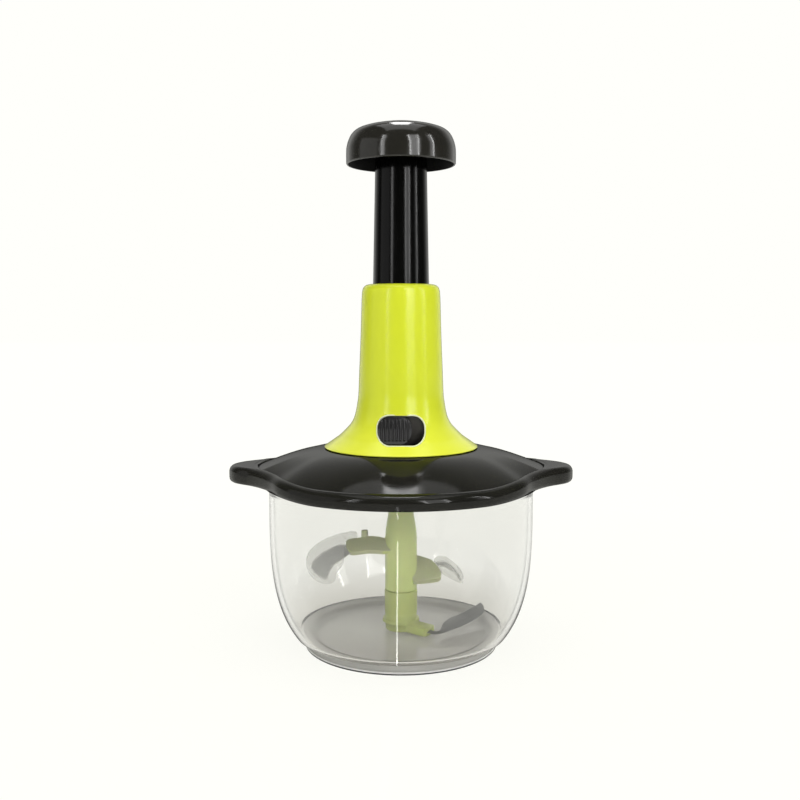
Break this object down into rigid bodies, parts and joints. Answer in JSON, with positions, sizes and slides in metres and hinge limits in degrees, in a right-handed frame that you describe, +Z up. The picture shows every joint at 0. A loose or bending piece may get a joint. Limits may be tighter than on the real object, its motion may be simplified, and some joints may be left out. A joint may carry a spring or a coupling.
{
  "type": "manual food chopper",
  "caption": "Press-down hand chopper: clear round bowl, winged smoky lid, lime collar with a lock slider, black column with a palm knob, bladed rotor.",
  "frame": {"origin": "middle of the foot ring's underside, on the press axis", "axes": "+Z up along the press axis, the lid's wings along X, the lock window towards -Y"},
  "size_m": [0.19, 0.1544, 0.2837],
  "materials": {
    "bowl_clear": "clear, glossy",
    "foot_grey": "soft, matte",
    "steel": "plain",
    "rotor_olive": "translucent light lime",
    "blade_steel": "satin",
    "guard_clear": "clear, glossy",
    "lid_smoke": "smoky, glossy",
    "seal_clear": "soft, clear",
    "collar_lime": "semi-gloss lime",
    "column_black": "gloss black",
    "black_moulded": "moulded black",
    "button_black": "satin black",
    "knob_smoke": "gloss dark brown-grey",
    "nylon_white": "moulded nylon",
    "brass": "turned"
  },
  "bodies": {
    "bowl": {"bowl": "bowl_clear", "foot_ring": "foot_grey", "pivot_pin": "steel"},
    "rotor": {"rotor_hub": "rotor_olive", "rotor_sleeve": "rotor_olive", "rotor_bush": "brass", "blade_upper": "blade_steel", "blade_middle": "blade_steel", "blade_lowest": "blade_steel", "guard_upper": "guard_clear", "guard_middle": "guard_clear"},
    "lid": {"lid": "lid_smoke", "lid_seal": "seal_clear", "collar": "collar_lime", "guide_tube": "black_moulded", "guide_bush": "black_moulded", "lock_track": "black_moulded", "thrust_washer": "nylon_white", "lid_bearing": "brass", "spring_seat": "steel", "return_spring": "steel", "collar_screw_1": "steel", "collar_screw_2": "steel", "collar_screw_3": "steel"},
    "plunger": {"knob": "knob_smoke", "knob_plug": "nylon_white", "knob_screw": "steel", "column": "column_black", "stop_ring": "steel", "drive_nut": "nylon_white", "nut_pin_left": "steel", "nut_pin_right": "steel"},
    "spindle": {"drive_spindle": "steel", "drive_socket": "nylon_white", "socket_clip": "steel"},
    "lock": {"lock_button": "button_black", "lock_ball": "steel"}
  },
  "joints": [
    {"name": "lid_lift", "type": "slide", "parent": "bowl", "child": "lid", "axis": [0, 0, 1], "range_m": [0, 0.12]},
    {"name": "handle_press", "type": "slide", "parent": "lid", "child": "plunger", "axis": [0, 0, -1], "range_m": [0, 0.05], "stiffness_N_per_m": 120, "springref_m": -0.03, "deforming": ["return_spring"]},
    {"name": "spindle_spin", "type": "hinge", "parent": "lid", "child": "spindle", "pos_m": [0, 0, 0], "axis": [0, 0, -1], "range_deg": [0, 721]},
    {"name": "rotor_spin", "type": "hinge", "parent": "bowl", "child": "rotor", "pos_m": [0, 0, 0], "axis": [0, 0, -1], "range_deg": [0, 721]},
    {"name": "lock_slide", "type": "slide", "parent": "lid", "child": "lock", "axis": [1, 0, 0], "range_m": [0, 0.006]}
  ],
  "couplings": [
    {"joint": "spindle_spin", "follows": "handle_press", "rad_per_m": 251.33},
    {"joint": "rotor_spin", "follows": "handle_press", "rad_per_m": 251.33}
  ]
}
